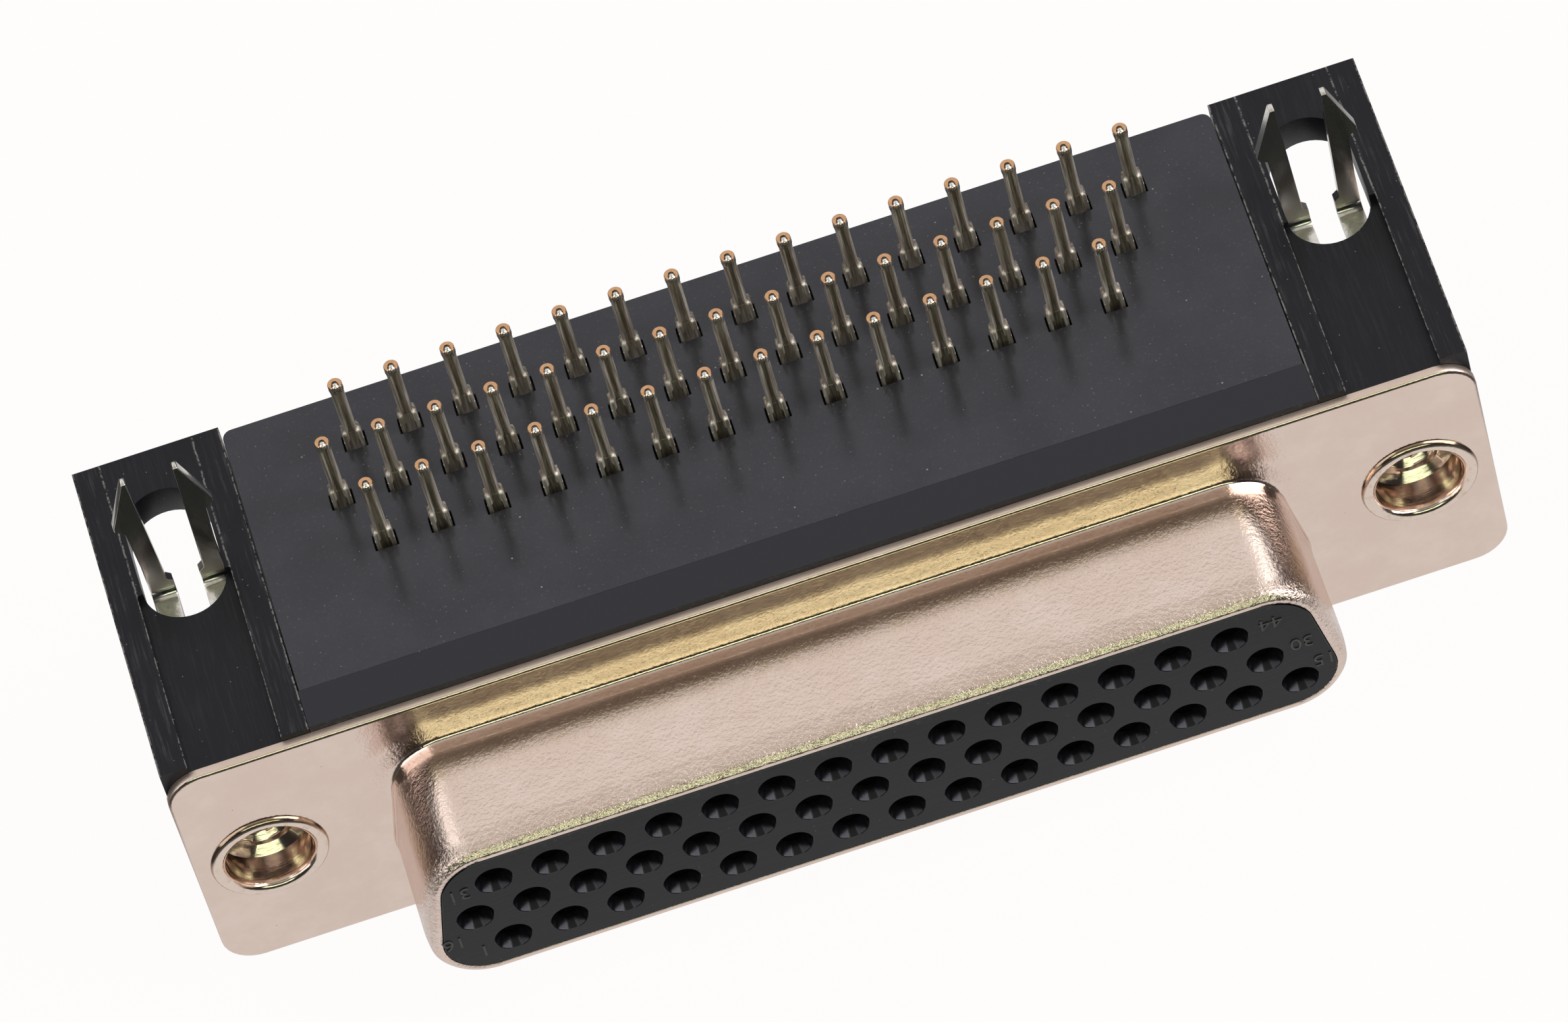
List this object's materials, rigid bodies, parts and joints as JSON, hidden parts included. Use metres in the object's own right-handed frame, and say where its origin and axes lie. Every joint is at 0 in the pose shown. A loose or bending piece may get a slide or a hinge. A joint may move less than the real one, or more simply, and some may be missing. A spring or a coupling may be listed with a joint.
{
  "type": "d-sub connector",
  "caption": "Right-angle through-hole high-density D-sub socket with plated shell, threaded inserts and two-prong board locks, lying board side up.",
  "frame": {"origin": "centre of the D-shaped mating opening, on the front face of the flange", "axes": "+X along the contact rows, to the right seen from the mating plug as it lies; +Y from the mating face to the rear; +Z the way the tails and board locks point, towards the board"},
  "size_m": [0.053, 0.0216, 0.0183],
  "materials": {
    "shell_nickel": "satin nickel plate over drawn steel",
    "insulator_black": "moulded, finely brushed face",
    "housing_black": "moulded, satin",
    "bracket_black": "moulded, scuffed, pale flash along the edges",
    "insert_nickel": "nickel-plated, turned",
    "lock_tin": "bright tin over stamped brass",
    "contact_tin": "bright tin on the tail, copper alloy at the cut edges"
  },
  "bodies": {
    "root": {"front_shell": "shell_nickel", "front_insulator": "insulator_black", "tail_housing": "housing_black", "bracket_left": "bracket_black", "insert_left": "insert_nickel", "board_lock_left": "lock_tin", "bracket_right": "bracket_black", "insert_right": "insert_nickel", "board_lock_right": "lock_tin", "contact_01": "contact_tin", "contact_02": "contact_tin", "contact_03": "contact_tin", "contact_04": "contact_tin", "contact_05": "contact_tin", "contact_06": "contact_tin", "contact_07": "contact_tin", "contact_08": "contact_tin", "contact_09": "contact_tin", "contact_10": "contact_tin", "contact_11": "contact_tin", "contact_12": "contact_tin", "contact_13": "contact_tin", "contact_14": "contact_tin", "contact_15": "contact_tin", "contact_16": "contact_tin", "contact_17": "contact_tin", "contact_18": "contact_tin", "contact_19": "contact_tin", "contact_20": "contact_tin", "contact_21": "contact_tin", "contact_22": "contact_tin", "contact_23": "contact_tin", "contact_24": "contact_tin", "contact_25": "contact_tin", "contact_26": "contact_tin", "contact_27": "contact_tin", "contact_28": "contact_tin", "contact_29": "contact_tin", "contact_30": "contact_tin", "contact_31": "contact_tin", "contact_32": "contact_tin", "contact_33": "contact_tin", "contact_34": "contact_tin", "contact_35": "contact_tin", "contact_36": "contact_tin", "contact_37": "contact_tin", "contact_38": "contact_tin", "contact_39": "contact_tin", "contact_40": "contact_tin", "contact_41": "contact_tin", "contact_42": "contact_tin", "contact_43": "contact_tin", "contact_44": "contact_tin"}
  },
  "joints": []
}
